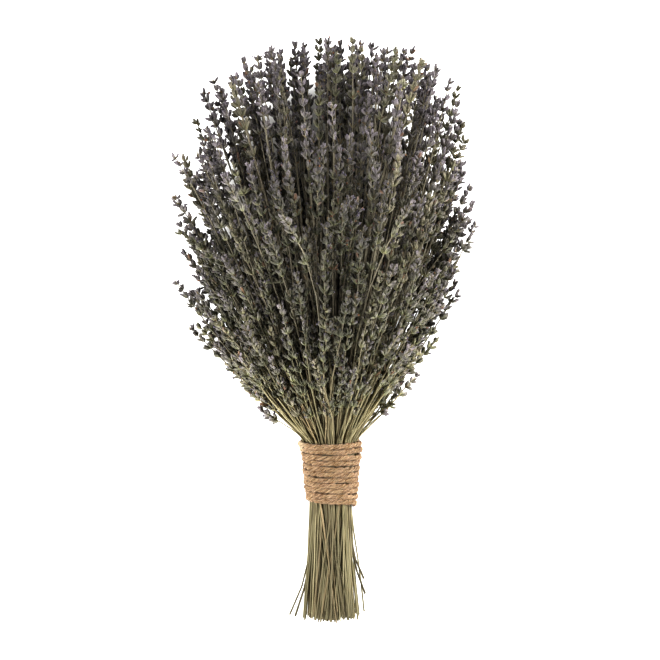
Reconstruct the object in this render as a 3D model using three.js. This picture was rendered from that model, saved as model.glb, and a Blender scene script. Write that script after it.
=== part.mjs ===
// A bunch of dried lavender tied with jute twine, lying on a flat surface.
// Millimetres, +Z up. The flower heads point along +Y and the cut ends along -Y.
//
// The bunch is laid out round its own axis first: x across, y along the axis from the
// middle of the tie, z out of the front. layDown() then leans it onto the surface.

import * as THREE from 'three';

// The tie: one length of twine wound round the stems, wider towards the heads
const TIE_LOW = -22;
const TIE_TOP = 22;
const TIE_RADIUS_LOW = 18.9;
const TIE_RADIUS_TOP = 21.7;
const TWINE_DIAMETER = 3.45;
const TWINE_TURNS = 11;
const TWINE_SIDES = 5;
const TWINE_STEPS_PER_TURN = 16;
const TWINE_CLEARANCE = 0.3;

// The stems stand on a square grid in the tie, and every four neighbours are one sheaf,
// fused where the twine hides them. Grid lengths are in widths of a sheaf: the rims are
// the distances of the outermost corner and of the outermost stem.
const SHEAVES_ACROSS = 8;
const SHEAF_LIMIT = 4;
const GRID_RIM = Math.hypot(2, 4);
const STEM_RIM = Math.hypot(1.75, 3.75);
const GRID_TURN = THREE.MathUtils.degToRad(24);
const STEMS_PER_SHEAF = 4;
const STEM_OFFSET = Math.hypot(0.25, 0.25);
const STEM_SCATTER = 0.34;
const SHEAF_FILL = 0.88;
const STEM_RADIUS = 1.15;
const STEM_SIDES = 3;

// The fused length of a sheaf, just short of both ends of the twine
const JOINED_LOW = -21;
const JOINED_TOP = 21;

// The cut ends
const FOOT_END = -103;
const FOOT_SCATTER = 7;
const FOOT_RADIUS = 20.5;

// The fan of heads. The spreads are the outermost stems' sideways travel for each
// millimetre along the axis. The reach is a tip's distance from the middle of the tie:
// it drops from the middle of the fan to its rim.
const BEND = 4;
const BEND_END = 29;
const SPREAD_LEFT = 1.14;
const SPREAD_RIGHT = 0.87;
const SPREAD_FRONT = 0.56;
const SPREAD_BACK = 0.33;
const SPREAD_POWER = 1.45;
const LONGEST_SHARE = 1.02;
const REACH = 306;
const REACH_DROP = 190;
const DROP_START_LEFT = 0.1;
const DROP_START_RIGHT = 0.25;
const DROP_END = 1.01;
const REACH_SCATTER = 0.14;

// A flower spike: whorls of buds round a slim core, a bud from each side of the stem.
// Girths are the shares of the full girth from the lowest whorl up.
const WHORL_PITCH = 11.5;
const FEWEST_WHORLS = 4;
const MOST_WHORLS = 5;
const LONG_SPIKE_SHARE = 0.4;
const BUD_REACH = 6;
const BUD_RISE = 1;
const WHORL_GIRTHS = [0.86, 1, 1, 0.9, 0.72];
const CORE_RADIUS = 1.8;
const CORE_SHARE = 0.45;
const SPIKE_POINT = 5;
const WHORL_TWIST = THREE.MathUtils.degToRad(30);
const SPIKE_GAP = 0.6;

// How the bunch lies: its axis leans up towards the heads, the surface bends up the stems
// whose tips would lie lower than the floor height, and presses flat what still reaches it
const LEAN = THREE.MathUtils.degToRad(4.6);
const TIE_HEIGHT = 29.5;
const FLOOR_HEIGHT = 2.2;
const FLOOR_SOFTNESS = 3;

// Each stem is the one of this many draws that leaves the most room
const SEED = 20260;
const DRAWS = 12;

const HEAD_COLOUR = 0x6d665c;
const TWINE_COLOUR = 0xa88768;

// A random draw that gives the same numbers each time
function seededRandom(seed) {
  let state = seed;
  return () => {
    state = (Math.imul(state, 1664525) + 1013904223) >>> 0;
    return state / 4294967296;
  };
}

// Radius of the twine's middle line at a place along the axis
function twineRadius(y) {
  const share = (y - TIE_LOW) / (TIE_TOP - TIE_LOW);
  return THREE.MathUtils.lerp(TIE_RADIUS_LOW, TIE_RADIUS_TOP, share) - TWINE_DIAMETER / 2;
}

// Width of one sheaf where the twine holds it
function sheafWidth(y) {
  const inside = (twineRadius(y) - TWINE_DIAMETER / 2) * Math.cos(Math.PI / TWINE_STEPS_PER_TURN);
  return (inside - TWINE_CLEARANCE) / GRID_RIM;
}

// A point of the grid, turned to its place round the axis
function gridPoint(centre, angle, distance) {
  const local = new THREE.Vector2(centre.x, centre.y);
  local.x += Math.cos(angle) * distance;
  local.y += Math.sin(angle) * distance;
  return local.rotateAround(new THREE.Vector2(), GRID_TURN);
}

function sheafCentres() {
  const middle = (SHEAVES_ACROSS - 1) / 2;
  const centres = [];
  for (let row = 0; row < SHEAVES_ACROSS; row += 1) {
    for (let column = 0; column < SHEAVES_ACROSS; column += 1) {
      const centre = new THREE.Vector2(column - middle, row - middle);
      if (centre.length() < SHEAF_LIMIT) {
        centres.push(centre);
      }
    }
  }
  return centres;
}

// Sideways travel of a stem above the tie, after its short bend
function fanTravel(y) {
  const height = y - JOINED_TOP;
  return height - BEND * (1 - Math.exp(-height / BEND));
}

// Middle of a stem at a place above the tie
function stemPoint(stem, y) {
  const travel = fanTravel(y);
  return new THREE.Vector3(stem.top.x + stem.slope.x * travel, y, stem.top.y + stem.slope.y * travel);
}

// Height above the surface of a point of the bunch
function heightOf(point) {
  return point.z * Math.cos(LEAN) + point.y * Math.sin(LEAN) + TIE_HEIGHT;
}

// Sends a stem to its place in the fan, with a tip that the surface bears up
function leanStem(stem, place, share) {
  const rank = Math.pow(place.length() / STEM_RIM, SPREAD_POWER);
  const across = place.x / place.length();
  const out = place.y / place.length();
  const spreadAcross = across < 0 ? SPREAD_LEFT : SPREAD_RIGHT;
  const spreadOut = out < 0 ? SPREAD_BACK : SPREAD_FRONT;
  stem.slope = new THREE.Vector2(rank * across * spreadAcross, rank * out * spreadOut);

  const dropStart = THREE.MathUtils.lerp(DROP_START_LEFT, DROP_START_RIGHT, (1 + across) / 2);
  const drop = REACH_DROP * THREE.MathUtils.smoothstep(rank, dropStart, DROP_END);
  const tipY = ((REACH - drop) * share) / Math.hypot(1, stem.slope.x);
  const height = heightOf(stemPoint(stem, tipY));
  const lift = FLOOR_SOFTNESS * Math.log1p(Math.exp((FLOOR_HEIGHT - height) / FLOOR_SOFTNESS));
  stem.slope.y += lift / (fanTravel(tipY) * Math.cos(LEAN));
  stem.axis = new THREE.Vector3(stem.slope.x, 1, stem.slope.y).normalize();
  stem.tip = stemPoint(stem, tipY);
  stem.bendEnd = stemPoint(stem, BEND_END);
}

// The spike's lines, and the points along each whorl where its buds need room
function placeSpike(stem) {
  const length = stem.whorls * WHORL_PITCH + SPIKE_POINT;
  stem.spikeBase = stem.tip.clone().addScaledVector(stem.axis, -length);
  stem.bareLine = new THREE.Line3(stem.bendEnd, stem.spikeBase);
  stem.spikeLine = new THREE.Line3(stem.spikeBase, stem.tip);
  stem.whorlPoints = [];
  for (let whorl = 1; whorl <= stem.whorls; whorl += 1) {
    const top = whorl * WHORL_PITCH;
    const heights = [top + BUD_RISE, top - WHORL_PITCH / 2];
    stem.whorlPoints.push(heights.map((h) => stem.spikeBase.clone().addScaledVector(stem.axis, h)));
  }
}

// One draw of a stem: where the tie holds it, where its spike goes and where it is cut
function makeStem(centre, index, random) {
  const side = (Math.PI / 2) * (index + 1);
  const scatter = new THREE.Vector2(random() - 0.5, random() - 0.5).multiplyScalar(STEM_SCATTER);
  const share = LONGEST_SHARE - REACH_SCATTER * random();
  const whorls = random() < LONG_SPIKE_SHARE ? MOST_WHORLS : FEWEST_WHORLS;
  const footY = FOOT_END + FOOT_SCATTER * Math.pow(random(), 2);

  const stem = { side: side + GRID_TURN, whorls };
  const fromMiddle = (SHEAF_FILL * sheafWidth(JOINED_TOP)) / 3;
  stem.top = gridPoint(centre, 0, 0).multiplyScalar(sheafWidth(JOINED_TOP));
  stem.top.x += Math.cos(stem.side) * fromMiddle;
  stem.top.y += Math.sin(stem.side) * fromMiddle;
  leanStem(stem, gridPoint(centre.clone().add(scatter), side + Math.PI / 4, STEM_OFFSET), share);
  placeSpike(stem);

  const foot = gridPoint(centre, side + Math.PI / 4, STEM_OFFSET).multiplyScalar(FOOT_RADIUS / STEM_RIM);
  stem.foot = new THREE.Vector3(foot.x, footY, foot.y);
  return stem;
}

// How far a bud at this point may stand out before it meets another stem or its spike
function roomBeside(point, other) {
  const fromStem = other.bareLine.closestPointToPoint(point, true, new THREE.Vector3());
  const fromSpike = other.spikeLine.closestPointToPoint(point, true, new THREE.Vector3());
  const besideStem = fromStem.distanceTo(point) - STEM_RADIUS - SPIKE_GAP;
  const besideSpike = (fromSpike.distanceTo(point) - SPIKE_GAP) / 2;
  return Math.min(besideStem, besideSpike);
}

// How far the buds of one whorl may stand out among all the stems
function whorlRoom(points, stem, stems) {
  let room = BUD_REACH;
  for (const other of stems) {
    if (other !== stem) {
      points.forEach((point) => {
        room = Math.min(room, roomBeside(point, other));
      });
    }
  }
  return room;
}

// The tightest place that a new stem would make, for its own spike and for those already there
function tightestRoom(stem, placed) {
  let room = BUD_REACH;
  for (const other of placed) {
    stem.whorlPoints.flat().forEach((point) => {
      room = Math.min(room, roomBeside(point, other));
    });
    other.whorlPoints.flat().forEach((point) => {
      room = Math.min(room, roomBeside(point, stem));
    });
  }
  return room;
}

function makeSheaves() {
  const random = seededRandom(SEED);
  const placed = [];
  return sheafCentres().map((centre) => {
    const stems = [];
    for (let index = 0; index < STEMS_PER_SHEAF; index += 1) {
      let best = null;
      let bestRoom = -Infinity;
      for (let draw = 0; draw < DRAWS; draw += 1) {
        const stem = makeStem(centre, index, random);
        const room = tightestRoom(stem, placed);
        if (room > bestRoom) {
          best = stem;
          bestRoom = room;
        }
      }
      placed.push(best);
      stems.push(best);
    }
    return { centre, stems };
  });
}

// The bunch's own frame to the surface: lean it, lift it and press its underside flat
function layDown(point) {
  const laid = point.clone().applyAxisAngle(new THREE.Vector3(1, 0, 0), LEAN);
  laid.z = Math.max(heightOf(point), 0);
  return laid;
}

// A closed surface built from rings of points. A ring runs from x towards z round the axis.
class Surface {
  constructor() {
    this.positions = [];
    this.faces = [];
  }

  point(point) {
    const laid = layDown(point);
    this.positions.push(laid.x, laid.y, laid.z);
    return this.positions.length / 3 - 1;
  }

  ring(points) {
    return points.map((point) => this.point(point));
  }

  // The walls between two rings
  band(lower, upper) {
    lower.forEach((corner, i) => {
      const next = (i + 1) % lower.length;
      this.faces.push(corner, upper[i], upper[next]);
      this.faces.push(corner, upper[next], lower[next]);
    });
  }

  // The walls between two rings, each drawn out to a bud
  buds(lower, upper, tips) {
    lower.forEach((corner, i) => {
      const next = (i + 1) % lower.length;
      this.faces.push(corner, upper[i], tips[i]);
      this.faces.push(upper[i], upper[next], tips[i]);
      this.faces.push(upper[next], lower[next], tips[i]);
      this.faces.push(lower[next], corner, tips[i]);
    });
  }

  // A ring drawn to a point at its upper side
  peak(ring, apex) {
    ring.forEach((corner, i) => {
      this.faces.push(corner, apex, ring[(i + 1) % ring.length]);
    });
  }

  // A flat end: the lower one faces down the axis, the upper one up it
  flatEnd(ring, upper) {
    for (let i = 1; i < ring.length - 1; i += 1) {
      const face = [ring[0], ring[i], ring[i + 1]];
      this.faces.push(...(upper ? face.reverse() : face));
    }
  }

  geometry() {
    const geometry = new THREE.BufferGeometry();
    geometry.setAttribute('position', new THREE.Float32BufferAttribute(this.positions, 3));
    geometry.setIndex(this.faces);
    geometry.computeVertexNormals();
    return geometry;
  }
}

// Points round a centre, square to an axis
function circle(centre, axis, radius, turn, count) {
  const first = new THREE.Vector3(1, 0, 0).addScaledVector(axis, -axis.x).normalize();
  const second = first.clone().cross(axis);
  const points = [];
  for (let i = 0; i < count; i += 1) {
    const angle = turn + (i * 2 * Math.PI) / count;
    const place = centre.clone().addScaledVector(first, radius * Math.cos(angle));
    points.push(place.addScaledVector(second, radius * Math.sin(angle)));
  }
  return points;
}

// A stem's section, with one flat side facing away from its sheaf
function stemSection(surface, stem, centre, axis) {
  const turn = stem.side - Math.PI / STEM_SIDES;
  return surface.ring(circle(centre, axis, STEM_RADIUS, turn, STEM_SIDES));
}

function addSpike(surface, stem, base, stems) {
  let lower = base;
  let turn = stem.side - Math.PI / STEM_SIDES;
  for (let whorl = 0; whorl < stem.whorls; whorl += 1) {
    turn += WHORL_TWIST;
    const height = (whorl + 1) * WHORL_PITCH;
    const top = stem.spikeBase.clone().addScaledVector(stem.axis, height);
    const budTop = top.clone().addScaledVector(stem.axis, BUD_RISE);
    const girth = whorlRoom(stem.whorlPoints[whorl], stem, stems) * WHORL_GIRTHS[whorl];
    const core = Math.min(CORE_RADIUS, girth * CORE_SHARE);
    const upper = surface.ring(circle(top, stem.axis, core, turn, STEM_SIDES));
    const budTurn = turn - WHORL_TWIST / 2 + Math.PI / STEM_SIDES;
    const tips = surface.ring(circle(budTop, stem.axis, girth, budTurn, STEM_SIDES));
    surface.buds(lower, upper, tips);
    lower = upper;
  }
  surface.peak(lower, surface.point(stem.tip));
}

// Corners of a sheaf's square section in the tie
function sheafCorners(centre, y) {
  const width = sheafWidth(y);
  const middle = gridPoint(centre, 0, 0).multiplyScalar(width);
  const reach = (SHEAF_FILL * width) / Math.SQRT2;
  const points = [];
  for (let i = 0; i < STEMS_PER_SHEAF; i += 1) {
    const angle = GRID_TURN + Math.PI / 4 + (i * Math.PI) / 2;
    points.push(new THREE.Vector3(middle.x + reach * Math.cos(angle), y, middle.y + reach * Math.sin(angle)));
  }
  return { middle: new THREE.Vector3(middle.x, y, middle.y), points };
}

function sheafGeometry(sheaf, stems) {
  const surface = new Surface();
  const lowCorners = sheafCorners(sheaf.centre, JOINED_LOW);
  const topCorners = sheafCorners(sheaf.centre, JOINED_TOP);
  const low = surface.ring(lowCorners.points);
  const top = surface.ring(topCorners.points);
  surface.band(low, top);
  const lowMiddle = surface.point(lowCorners.middle);
  const topMiddle = surface.point(topCorners.middle);
  const along = new THREE.Vector3(0, 1, 0);
  sheaf.stems.forEach((stem, i) => {
    const next = (i + 1) % STEMS_PER_SHEAF;
    const foot = stemSection(surface, stem, stem.foot, along);
    surface.flatEnd(foot, false);
    surface.band(foot, [low[i], low[next], lowMiddle]);
    const bend = stemSection(surface, stem, stem.bendEnd, stem.axis);
    surface.band([top[i], top[next], topMiddle], bend);
    const base = stemSection(surface, stem, stem.spikeBase, stem.axis);
    surface.band(bend, base);
    addSpike(surface, stem, base, stems);
  });
  return surface.geometry();
}

function twineGeometry() {
  const surface = new Surface();
  const start = TIE_LOW + TWINE_DIAMETER / 2;
  const length = TIE_TOP - TIE_LOW - TWINE_DIAMETER;
  const steps = TWINE_TURNS * TWINE_STEPS_PER_TURN;
  let previous = null;
  for (let step = 0; step <= steps; step += 1) {
    const angle = (step * 2 * Math.PI) / TWINE_STEPS_PER_TURN;
    const y = start + (length * step) / steps;
    const outward = new THREE.Vector3(Math.cos(angle), 0, Math.sin(angle));
    const middle = outward.clone().multiplyScalar(twineRadius(y));
    middle.y = y;
    const points = [];
    for (let i = 0; i < TWINE_SIDES; i += 1) {
      const round = (i * 2 * Math.PI) / TWINE_SIDES;
      const point = middle.clone().addScaledVector(outward, (Math.cos(round) * TWINE_DIAMETER) / 2);
      point.y -= (Math.sin(round) * TWINE_DIAMETER) / 2;
      points.push(point);
    }
    const ring = surface.ring(points);
    if (previous === null) {
      surface.flatEnd(ring, false);
    } else {
      surface.band(previous, ring);
    }
    previous = ring;
  }
  surface.flatEnd(previous, true);
  return surface.geometry();
}

function named(name, geometry, colour) {
  const material = new THREE.MeshStandardMaterial({ color: colour, roughness: 0.95, metalness: 0 });
  const mesh = new THREE.Mesh(geometry, material);
  mesh.name = name;
  return mesh;
}

const sheaves = makeSheaves();
const allStems = sheaves.flatMap((sheaf) => sheaf.stems);

const bunch = new THREE.Group();
sheaves.forEach((sheaf, i) => {
  const name = `sheaf_${String(i + 1).padStart(2, '0')}`;
  bunch.add(named(name, sheafGeometry(sheaf, allStems), HEAD_COLOUR));
});
bunch.add(named('twine', twineGeometry(), TWINE_COLOUR));

// The origin is on the surface, under the middle of the whole bunch
const bounds = new THREE.Box3().setFromObject(bunch);
const middle = bounds.getCenter(new THREE.Vector3());
bunch.position.set(-middle.x, -middle.y, -bounds.min.z);

export default bunch;
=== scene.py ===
# A bunch of dried lavender tied with jute twine, lying on a pale surface.
#
# The first four stems of every sheaf follow the solids' layout rules and numbers. They then
# sway a little, and those that stand out of the outline are cut shorter. Lengths are in
# millimetres until a mesh is made, in metres.

import math
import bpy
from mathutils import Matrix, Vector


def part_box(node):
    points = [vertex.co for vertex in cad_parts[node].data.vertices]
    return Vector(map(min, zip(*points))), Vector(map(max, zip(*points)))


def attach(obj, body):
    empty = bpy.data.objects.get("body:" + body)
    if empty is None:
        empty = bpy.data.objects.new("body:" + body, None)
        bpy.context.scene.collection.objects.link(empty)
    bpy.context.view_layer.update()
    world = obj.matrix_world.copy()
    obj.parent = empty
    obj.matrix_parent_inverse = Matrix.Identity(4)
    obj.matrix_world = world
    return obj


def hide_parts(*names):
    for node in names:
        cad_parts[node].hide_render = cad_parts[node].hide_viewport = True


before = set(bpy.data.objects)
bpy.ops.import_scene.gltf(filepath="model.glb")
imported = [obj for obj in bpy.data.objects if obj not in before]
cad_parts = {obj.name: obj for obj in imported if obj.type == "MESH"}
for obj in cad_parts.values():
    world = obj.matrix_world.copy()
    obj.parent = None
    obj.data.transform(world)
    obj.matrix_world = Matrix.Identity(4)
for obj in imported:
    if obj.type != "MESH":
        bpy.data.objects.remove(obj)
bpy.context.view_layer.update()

from types import SimpleNamespace

import bpy
import numpy as np
from mathutils import Vector

MM = 0.001
TURN = 2 * math.pi

# The tie
TIE_LOW = -22.0
TIE_TOP = 22.0
TIE_RADIUS_LOW = 18.9
TIE_RADIUS_TOP = 21.7
TWINE_DIAMETER = 3.45
TWINE_TURNS = 11
TWINE_SIDES = 5
TWINE_STEPS_PER_TURN = 16
TWINE_CLEARANCE = 0.3

# The sheaves on their square grid, and the four stems of each
SHEAVES_ACROSS = 8
SHEAF_LIMIT = 4
GRID_RIM = math.hypot(2, 4)
STEM_RIM = math.hypot(1.75, 3.75)
GRID_TURN = math.radians(24)
STEMS_PER_SHEAF = 4
STEM_OFFSET = math.hypot(0.25, 0.25)
STEM_SCATTER = 0.34
SHEAF_FILL = 0.88
STEM_RADIUS = 1.15
JOINED_LOW = -21.0
JOINED_TOP = 21.0

# The cut ends
FOOT_END = -103.0
FOOT_SCATTER = 7.0
FOOT_RADIUS = 20.5

# The fan of heads
BEND = 4.0
BEND_END = 29.0
SPREAD_LEFT = 1.14
SPREAD_RIGHT = 0.87
SPREAD_FRONT = 0.56
SPREAD_BACK = 0.33
SPREAD_POWER = 1.45
LONGEST_SHARE = 1.02
REACH = 306.0
REACH_DROP = 190.0
DROP_START_LEFT = 0.1
DROP_START_RIGHT = 0.25
DROP_END = 1.01
REACH_SCATTER = 0.14

# The flower spikes of the solids
WHORL_PITCH = 11.5
FEWEST_WHORLS = 4
MOST_WHORLS = 5
LONG_SPIKE_SHARE = 0.4
BUD_REACH = 6.0
BUD_RISE = 1.0
SPIKE_POINT = 5.0
SPIKE_GAP = 0.6

# How the bunch lies
LEAN = math.radians(4.6)
TIE_HEIGHT = 29.5
FLOOR_HEIGHT = 2.2
FLOOR_SOFTNESS = 3.0

SEED = 20260
DRAWS = 12

# The real bunch has far more stems than the solids: slim fillers stand between them. The
# offset and scatter are in widths of a sheaf.
FILLERS_PER_SHEAF = 7
FILLER_OFFSET = 0.44
FILLER_SCATTER = 1.8
FILLER_RIM = 0.9 * STEM_RIM
FILLER_SHORTENING = 0.45
FILLER_FOOT_REACH = 0.66
FILLER_FOOT_SCATTER = 11.0
FILLER_DRAWS = 24
PATCH = 4.0
PATCHES_ACROSS = 100
PATCHES_BELOW = 10
SPIKE_HALF_WIDTH = 2.6

# The rounded outline of the heads seen from above, which trims the tips
OUTLINE_MIDDLE = (-4.0, 188.0)
OUTLINE_HALF_WIDTH = 89.0
OUTLINE_ABOVE = 114.0
OUTLINE_BELOW = 161.0
OUTLINE_POWERS_ABOVE = (2.35, 3.1)
OUTLINE_POWERS_BELOW = (2.3, 1.5)
OUTLINE_SCATTER = 0.042
THINNER_FROM = 0.5
THINNER_ABOVE_LEFT = 120.0
THINNER_ABOVE_RIGHT = 215.0
THINNING = 3.0
TRIM_STEP = 2.0
LONGEST_TRIM = 26.0

# Tips of the single stems that stand out of the outline, and the pale stalk's. A rise is how
# much a stem goes up, away from the surface, on its way to its tip.
STRAY_TIPS = [(-106, 198), (-101, 226), (-99, 104), (-100, 138), (-88, 270), (-32, 300),
              (-1, 306), (15, 306), (31, 299), (48, 299), (66, 287), (82, 278), (91, 262),
              (102, 178), (87, 129), (-44, 45)]
STRAY_WHORLS = 3
LOWEST_RISE = 0.02
HIGHEST_RISE = 0.18
STALK_TIP = (50, 275)
STALK_RISE = 0.2
STALK_GIRTH = 1.5

# Tips of the stems that have bent across the others, how far aside each has bent, and its rise
BENT_TIPS = [(-34, 186, -20, 0.4), (52, 196, 17, 0.38), (-72, 214, -13, 0.32)]

# Cut ends of the upper side that stand apart from the rest, and how much the height counts
UPPER_FOOT = 2.0
LONE_FEET = [(-28.5, -100), (-24.8, -101), (21.8, -74), (22.8, -85)]
LONE_HEIGHT = 4.0
LONE_WEIGHT = 0.3

# Upper stems below the tie that cross over the others, and how far they travel across
SLANTED_ABOVE = 7.5
SLANTED_SHARE = 0.4
SLANT = (7.0, 15.0)
SLANT_RISE = 0.9


# Layout

def seeded_random(seed):
    """A random draw that gives the same numbers each time."""
    state = seed

    def draw():
        nonlocal state
        state = (state * 1664525 + 1013904223) % 4294967296
        return state / 4294967296

    return draw


def twine_radius(y):
    """Radius of the twine's middle line at a place along the axis."""
    share = (y - TIE_LOW) / (TIE_TOP - TIE_LOW)
    return TIE_RADIUS_LOW + (TIE_RADIUS_TOP - TIE_RADIUS_LOW) * share - TWINE_DIAMETER / 2


def twine_place(share):
    """Place along the axis of the twine's middle line, at a share of its winding."""
    return TIE_LOW + TWINE_DIAMETER / 2 + (TIE_TOP - TIE_LOW - TWINE_DIAMETER) * share


def sheaf_width(y):
    """Width of one sheaf where the twine holds it."""
    inside = (twine_radius(y) - TWINE_DIAMETER / 2) * math.cos(math.pi / TWINE_STEPS_PER_TURN)
    return (inside - TWINE_CLEARANCE) / GRID_RIM


def grid_point(centre, angle, distance):
    """A point of the grid, turned to its place round the axis."""
    x = centre[0] + math.cos(angle) * distance
    y = centre[1] + math.sin(angle) * distance
    cos, sin = math.cos(GRID_TURN), math.sin(GRID_TURN)
    return np.array([x * cos - y * sin, x * sin + y * cos])


def sheaf_centres():
    middle = (SHEAVES_ACROSS - 1) / 2
    places = [index - middle for index in range(SHEAVES_ACROSS)]
    cells = [(column, row) for row in places for column in places]
    return [cell for cell in cells if math.hypot(*cell) < SHEAF_LIMIT]


def fan_travel(y):
    """Sideways travel of a stem above the tie, after its short bend."""
    height = y - JOINED_TOP
    return height - BEND * (1 - np.exp(-height / BEND))


def stem_point(stem, y):
    travel = fan_travel(y)
    return np.array([stem.top[0] + stem.slope[0] * travel, y, stem.top[1] + stem.slope[1] * travel])


def share_of(x, low, high):
    """How far a value has gone from the low one to the high one, held from 0 to 1."""
    return np.clip((x - low) / (high - low), 0, 1)


def smoothstep(x, low, high):
    share = share_of(x, low, high)
    return share * share * (3 - 2 * share)


def aim(stem, tip_y):
    """Points a stem along its slope, with its tip at this place along the bunch."""
    axis = np.array([stem.slope[0], 1, stem.slope[1]])
    stem.axis = axis / np.linalg.norm(axis)
    stem.tip = stem_point(stem, tip_y)


def lean_stem(stem, place, share):
    """Sends a stem to its place in the fan, with a tip that the surface bears up."""
    distance = math.hypot(*place)
    rank = (distance / STEM_RIM) ** SPREAD_POWER
    across = place[0] / distance
    out = place[1] / distance
    spread_across = SPREAD_LEFT if across < 0 else SPREAD_RIGHT
    spread_out = SPREAD_BACK if out < 0 else SPREAD_FRONT
    stem.slope = np.array([rank * across * spread_across, rank * out * spread_out])

    drop_start = DROP_START_LEFT + (DROP_START_RIGHT - DROP_START_LEFT) * (1 + across) / 2
    drop = REACH_DROP * smoothstep(rank, drop_start, DROP_END)
    tip_y = ((REACH - drop) * share) / math.hypot(1, stem.slope[0])
    height = lay_down(stem_point(stem, tip_y)[None])[0, 2]
    lift = FLOOR_SOFTNESS * math.log1p(math.exp((FLOOR_HEIGHT - height) / FLOOR_SOFTNESS))
    stem.slope[1] += lift / (fan_travel(tip_y) * math.cos(LEAN))
    aim(stem, tip_y)
    stem.bend_end = stem_point(stem, BEND_END)


def place_spike(stem):
    """The spike's base, and the points along each whorl where its buds need room."""
    stem.length = stem.whorls * WHORL_PITCH + SPIKE_POINT
    stem.spike_base = stem.tip - stem.axis * stem.length
    tops = (np.arange(stem.whorls) + 1) * WHORL_PITCH
    heights = np.concatenate([tops + BUD_RISE, tops - WHORL_PITCH / 2])
    stem.whorl_points = stem.spike_base + heights[:, None] * stem.axis


def held_stem(centre, side, offset, whorls):
    """A stem that the tie holds on this side of its sheaf's middle."""
    stem = SimpleNamespace(role="plain", bend=0, slant=0, side=side + GRID_TURN, whorls=whorls)
    outward = np.array([math.cos(stem.side), math.sin(stem.side)]) * offset
    held = grid_point(centre, 0, 0) + outward
    stem.top = held * sheaf_width(JOINED_TOP)
    stem.low = held * sheaf_width(JOINED_LOW)
    return stem


def foot_point(centre, side, offset, reach, y):
    """Where a stem is cut: past the side that it has in the tie, and spread over the cut ends."""
    foot = grid_point(centre, side + math.pi / 4, offset) * (reach / STEM_RIM)
    return np.array([foot[0], y, foot[1]])


def make_stem(centre, index, draw):
    """One draw of a stem: where the tie holds it, where its spike goes and where it is cut."""
    side = math.pi / 2 * (index + 1)
    moved = [centre[0] + (draw() - 0.5) * STEM_SCATTER, centre[1] + (draw() - 0.5) * STEM_SCATTER]
    share = LONGEST_SHARE - REACH_SCATTER * draw()
    whorls = MOST_WHORLS if draw() < LONG_SPIKE_SHARE else FEWEST_WHORLS
    stem = held_stem(centre, side, SHEAF_FILL / 3, whorls)
    lean_stem(stem, grid_point(moved, side + math.pi / 4, STEM_OFFSET), share)
    place_spike(stem)
    foot_y = FOOT_END + FOOT_SCATTER * draw() ** 2
    stem.foot = foot_point(centre, side, STEM_OFFSET, FOOT_RADIUS, foot_y)
    return stem


def distances(points, starts, ends):
    """Distance of every point to every line, one row a point."""
    along = ends - starts
    share = ((points[:, None] - starts) * along).sum(-1) / (along * along).sum(-1)
    nearest = starts + np.clip(share, 0, 1)[..., None] * along
    return np.linalg.norm(points[:, None] - nearest, axis=-1)


def room_beside(points, stems):
    """The least room for buds at these points beside these stems and their spikes."""
    spike_bases = np.array([stem.spike_base for stem in stems])
    beside_stem = distances(points, np.array([stem.bend_end for stem in stems]), spike_bases)
    beside_spike = distances(points, spike_bases, np.array([stem.tip for stem in stems]))
    return min((beside_stem - STEM_RADIUS - SPIKE_GAP).min(), ((beside_spike - SPIKE_GAP) / 2).min())


def tightest_room(stem, placed):
    """The least room for the buds of this stem and of those placed before it."""
    if not placed:
        return BUD_REACH
    their_points = np.concatenate([other.whorl_points for other in placed])
    return min(BUD_REACH, room_beside(stem.whorl_points, placed), room_beside(their_points, [stem]))


def patches(stem):
    """The patches of the fan, seen from above, that a spike lies over."""
    below = np.arange(1, stem.length, SPIKE_HALF_WIDTH)[:, None, None]
    aside = np.array([-1, 0, 1])[:, None] * SPIKE_HALF_WIDTH
    points = stem.tip[:2] - below * stem.axis[:2] + aside * np.array([stem.axis[1], -stem.axis[0]])
    cells = points.reshape(-1, 2) / PATCH + [PATCHES_ACROSS / 2, PATCHES_BELOW]
    return tuple(np.clip(cells, 0, PATCHES_ACROSS - 1).astype(int).T)


def usefulness(stem, cover):
    """How thin the parts of the fan are that a stem's spike fills."""
    return (1 / (1 + cover[patches(stem)]) ** 2).mean()


def outline_share(x, y):
    """How far out a place is, from 0 at the middle of the outline to 1 on it."""
    across = x - OUTLINE_MIDDLE[0]
    up = y - OUTLINE_MIDDLE[1]
    height, powers = OUTLINE_BELOW, OUTLINE_POWERS_BELOW
    if up > 0:
        height, powers = OUTLINE_ABOVE, OUTLINE_POWERS_ABOVE
    power = powers[0] if across < 0 else powers[1]
    return ((abs(across) / OUTLINE_HALF_WIDTH) ** power + (abs(up) / height) ** power) ** (1 / power)


def trim(stem, scale):
    """Shortens a stem whose tip stands out of the outline, at this scale of it."""
    for _ in range(int(LONGEST_TRIM / TRIM_STEP)):
        if outline_share(*stem.tip[:2]) < scale:
            break
        stem.tip = stem.tip - stem.axis * TRIM_STEP


def first_cover():
    """The patches near the top and the sides count as part full, so they stay thinner."""
    cover = np.zeros((PATCHES_ACROSS, PATCHES_ACROSS))
    for column, row in np.ndindex(cover.shape):
        x = (column + 0.5 - PATCHES_ACROSS / 2) * PATCH
        y = (row + 0.5 - PATCHES_BELOW) * PATCH
        if y > (THINNER_ABOVE_RIGHT if x > 0 else THINNER_ABOVE_LEFT):
            cover[column, row] = THINNING * smoothstep(outline_share(x, y), THINNER_FROM, 1)
    return cover


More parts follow.
